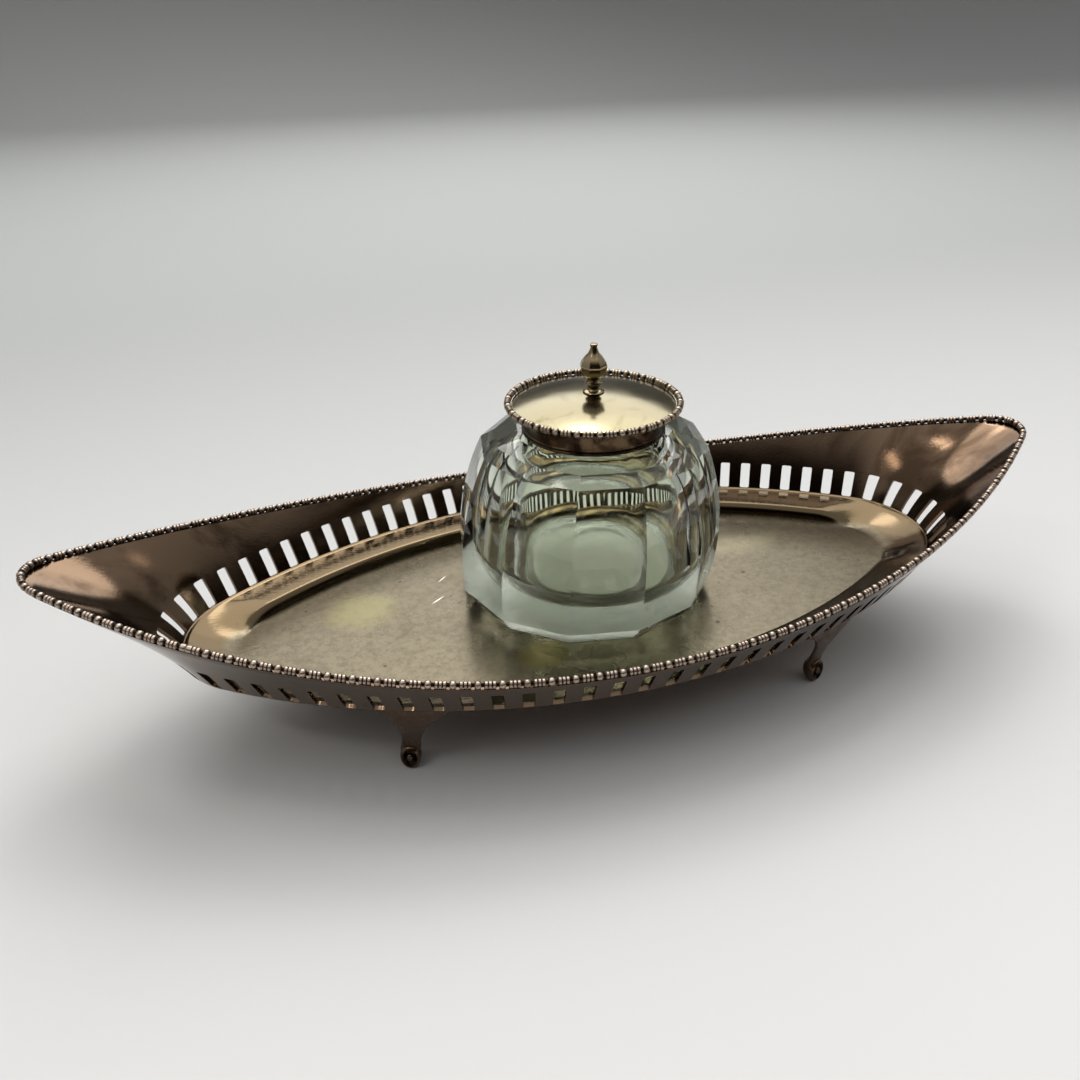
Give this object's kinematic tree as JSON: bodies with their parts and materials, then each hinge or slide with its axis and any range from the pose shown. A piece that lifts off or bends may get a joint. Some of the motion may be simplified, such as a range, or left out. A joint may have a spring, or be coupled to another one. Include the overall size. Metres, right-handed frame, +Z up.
{
  "type": "desk inkstand with glass ink bottle",
  "caption": "Boat-shaped silver tray with a pierced gallery wall, wire border and four feet, holding a panelled glass ink bottle with a hinged domed lid.",
  "frame": {"origin": "table plane under the middle of the tray's length and width", "axes": "+X along the tray's length, +Y towards the side the bottle stands nearer, where its lid is hinged, +Z up"},
  "size_m": [0.2546, 0.1054, 0.0822],
  "materials": {
    "tray_silver": "sterling silver, satin, with cloudy warm tarnish",
    "border_silver": "cast bead and reel wire, dark in the gaps",
    "foot_silver": "cast silver, brown tarnish",
    "cut_glass": "clear lead glass, cut and polished flat panels",
    "plaster": "plaster of Paris bedding",
    "collar_silver": "silver, streaky brown tarnish",
    "lid_silver": "silver, satin, warm tarnish and small dark spots",
    "finial_silver": "cast silver, tarnished in the grooves",
    "pin_silver": "drawn silver wire and plate"
  },
  "bodies": {
    "tray": {"tray_body": "tray_silver", "rim_wire_front": "border_silver", "rim_wire_back": "border_silver", "rim_wire_left": "border_silver", "rim_wire_right": "border_silver", "foot_front_left": "foot_silver", "foot_front_right": "foot_silver", "foot_back_left": "foot_silver", "foot_back_right": "foot_silver"},
    "bottle": {"bottle_glass": "cut_glass", "collar_plaster": "plaster", "collar": "collar_silver", "hinge_collar_leaf": "collar_silver", "hinge_pin": "pin_silver"},
    "lid": {"hinge_lid_knuckle": "lid_silver", "lid_dome": "lid_silver", "lid_border": "border_silver", "lid_bezel": "lid_silver", "finial": "finial_silver", "finial_washer": "pin_silver", "finial_nut": "pin_silver"}
  },
  "joints": [
    {"name": "bottle_lift", "type": "slide", "parent": "tray", "child": "bottle", "axis": [0, 0, 1], "range_m": [0, 0.04]},
    {"name": "lid_hinge", "type": "hinge", "parent": "bottle", "child": "lid", "pos_m": [0.005, 0.0249, 0.0655], "axis": [-1, 0, 0], "range_deg": [0, 100]}
  ]
}
